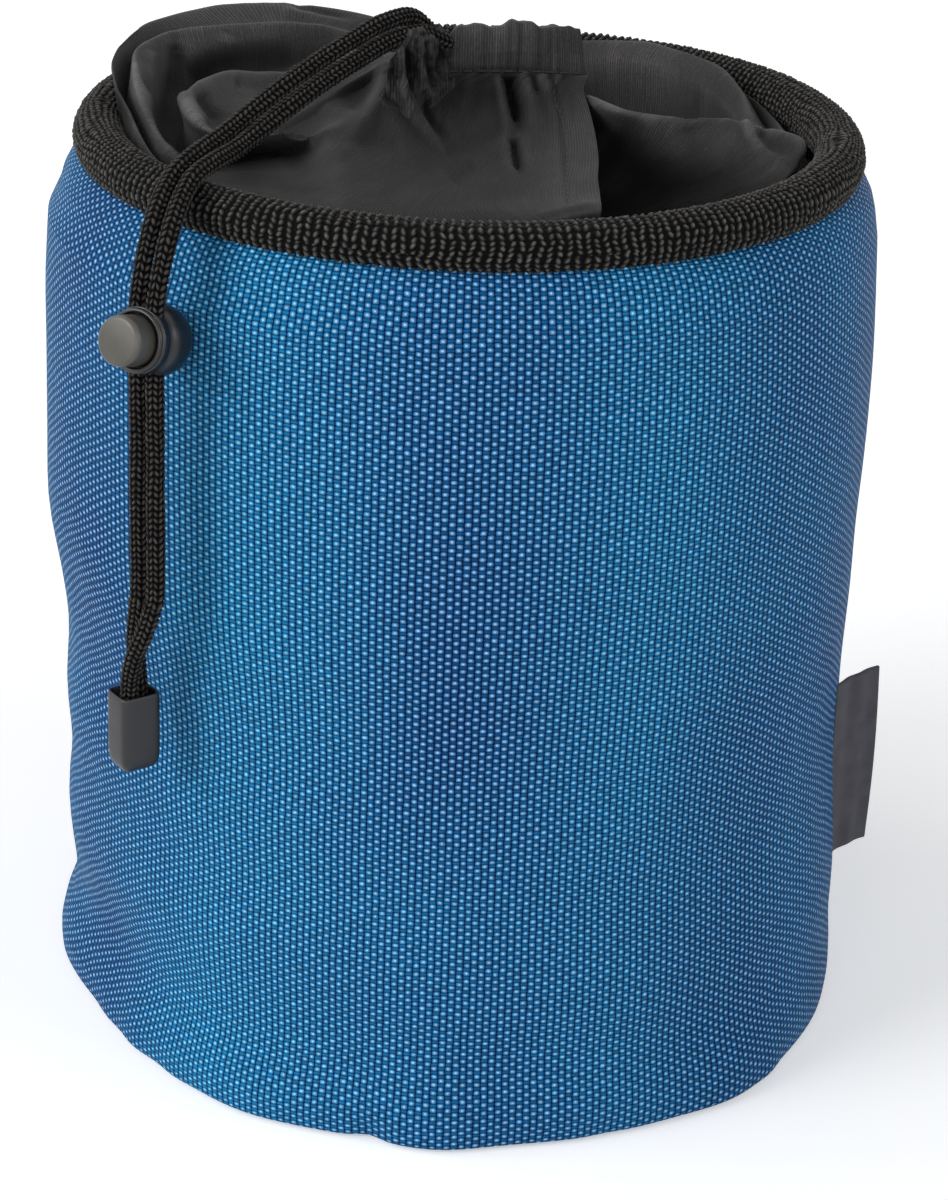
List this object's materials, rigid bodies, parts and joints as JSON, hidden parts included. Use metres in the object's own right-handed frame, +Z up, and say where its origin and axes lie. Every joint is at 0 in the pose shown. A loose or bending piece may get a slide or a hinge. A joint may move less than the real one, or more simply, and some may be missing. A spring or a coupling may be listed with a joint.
{
  "type": "peg bag",
  "caption": "Round stiffened fabric peg bag with a taped rim, a drawstring nylon collar, a ball cord lock, a moulded cord end and a small side label.",
  "frame": {"origin": "centre of the base, on the table", "axes": "+Z up, -Y towards the front, +X to the viewer's right; the side label is on +X and the cord hangs at the front left"},
  "size_m": [0.187, 0.1788, 0.2209],
  "materials": {
    "wall_cloth": "coarse plain weave, matt",
    "rim_tape": "knitted binding tape, matt",
    "nylon": "thin plain nylon, soft sheen",
    "braid": "braided cord, matt",
    "plastic": "moulded, satin",
    "label_cloth": "woven label, satin",
    "board": "smooth sheet and rod",
    "spring_steel": "drawn wire"
  },
  "bodies": {
    "bag": {"outer_wall": "wall_cloth", "base_panel": "wall_cloth", "base_board": "board", "base_seam_tape": "rim_tape", "side_seam_tape": "rim_tape", "side_label": "label_cloth", "rim_hoop": "board", "rim_binding": "rim_tape", "collar": "nylon", "collar_casing": "nylon", "drawcord_ring": "braid", "drawcord_upper_left": "braid", "drawcord_upper_right": "braid"},
    "tail": {"drawcord_tail_left": "braid", "drawcord_tail_right": "braid", "cord_end": "plastic", "cord_knot": "braid"},
    "lock": {"cord_lock_body": "plastic", "cord_lock_spring": "spring_steel"},
    "button": {"cord_lock_button": "plastic"}
  },
  "joints": [
    {"name": "tail_swing", "type": "hinge", "parent": "bag", "child": "tail", "pos_m": [-0.0565, -0.0658, 0.2029], "axis": [-0.9205, 0.3907, 0], "range_deg": [0, 60]},
    {"name": "lock_slide", "type": "slide", "parent": "tail", "child": "lock", "axis": [0, 0, 1], "range_m": [-0.04, 0]},
    {"name": "button_press", "type": "slide", "parent": "lock", "child": "button", "axis": [0.5142, 0.8229, -0.2419], "range_m": [0, 0.002], "stiffness_N_per_m": 800, "springref_m": -0.002, "deforming": ["cord_lock_spring"]}
  ]
}
